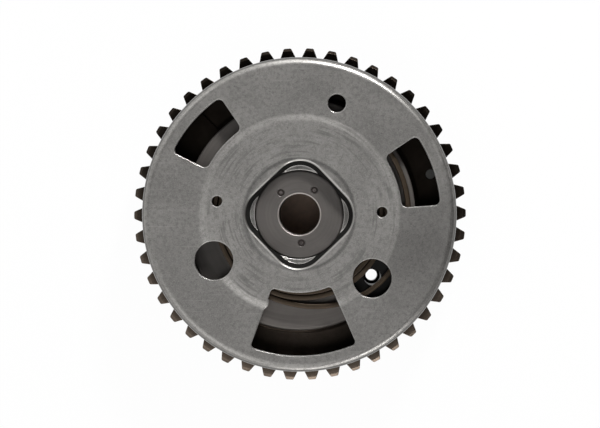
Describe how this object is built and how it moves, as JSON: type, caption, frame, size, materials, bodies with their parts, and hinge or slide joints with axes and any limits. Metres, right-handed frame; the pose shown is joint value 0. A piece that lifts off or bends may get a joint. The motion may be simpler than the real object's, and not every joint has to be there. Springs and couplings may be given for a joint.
{
  "type": "cam phaser",
  "caption": "Vane-type cam phaser: toothed chain wheel with oil chambers, vaned rotor, spiral spring, lock pin and a windowed front cover with a rounded-square well.",
  "frame": {"origin": "centre of the rear face, where the cam axis meets the surface that the phaser lies on", "axes": "+Z along the cam axis towards the front cover; +X to the right and +Y up as the picture shows the front"},
  "size_m": [0.14, 0.1398, 0.0429],
  "materials": {
    "sintered_steel": "dark brown sintered steel, matte",
    "plate_steel": "ground and tumbled, matte",
    "rotor_steel": "sintered and sized",
    "machined_steel": "fine turned",
    "pressed_steel": "pressed and tumbled, dull satin",
    "spring_steel": "tempered, tan",
    "bolt_steel": "black oxide",
    "pin_steel": "hardened and ground",
    "seal_plastic": "filled plastic, matte"
  },
  "bodies": {
    "housing": {"sprocket_housing": "sintered_steel", "rear_plate": "plate_steel", "front_plate": "plate_steel", "spring_post": "pin_steel", "housing_dowel": "pin_steel", "lock_pin_seat": "pin_steel", "housing_bolt_1": "bolt_steel", "housing_bolt_2": "bolt_steel", "housing_bolt_3": "bolt_steel", "housing_bolt_4": "bolt_steel", "housing_bolt_5": "bolt_steel", "lobe_seal_1": "seal_plastic", "lobe_seal_2": "seal_plastic", "lobe_seal_3": "seal_plastic", "lobe_seal_4": "seal_plastic", "lobe_seal_5": "seal_plastic", "lobe_seal_spring_1": "spring_steel", "lobe_seal_spring_2": "spring_steel", "lobe_seal_spring_3": "spring_steel", "lobe_seal_spring_4": "spring_steel", "lobe_seal_spring_5": "spring_steel"},
    "rotor": {"rotor": "rotor_steel", "hub": "machined_steel", "target_cover": "pressed_steel", "bias_spring": "spring_steel", "lock_spring": "spring_steel", "lock_spring_cap": "pin_steel", "hub_pin_1": "pin_steel", "hub_pin_2": "pin_steel", "hub_pin_3": "pin_steel", "vane_seal_1": "seal_plastic", "vane_seal_2": "seal_plastic", "vane_seal_3": "seal_plastic", "vane_seal_4": "seal_plastic", "vane_seal_5": "seal_plastic", "vane_seal_spring_1": "spring_steel", "vane_seal_spring_2": "spring_steel", "vane_seal_spring_3": "spring_steel", "vane_seal_spring_4": "spring_steel", "vane_seal_spring_5": "spring_steel"},
    "lock_pin": {"lock_pin": "pin_steel"}
  },
  "joints": [
    {"name": "phaser_turn", "type": "hinge", "parent": "housing", "child": "rotor", "pos_m": [0, 0, 0.0165], "axis": [0, 0, 1], "range_deg": [-31, 0], "stiffness_Nm_per_rad": 1.2, "springref_deg": 57.3, "deforming": ["bias_spring"]},
    {"name": "lock_pin_slide", "type": "slide", "parent": "rotor", "child": "lock_pin", "axis": [0, 0, 1], "range_m": [0, 0.002], "stiffness_N_per_m": 300, "springref_m": -0.008, "deforming": ["lock_spring"]}
  ]
}
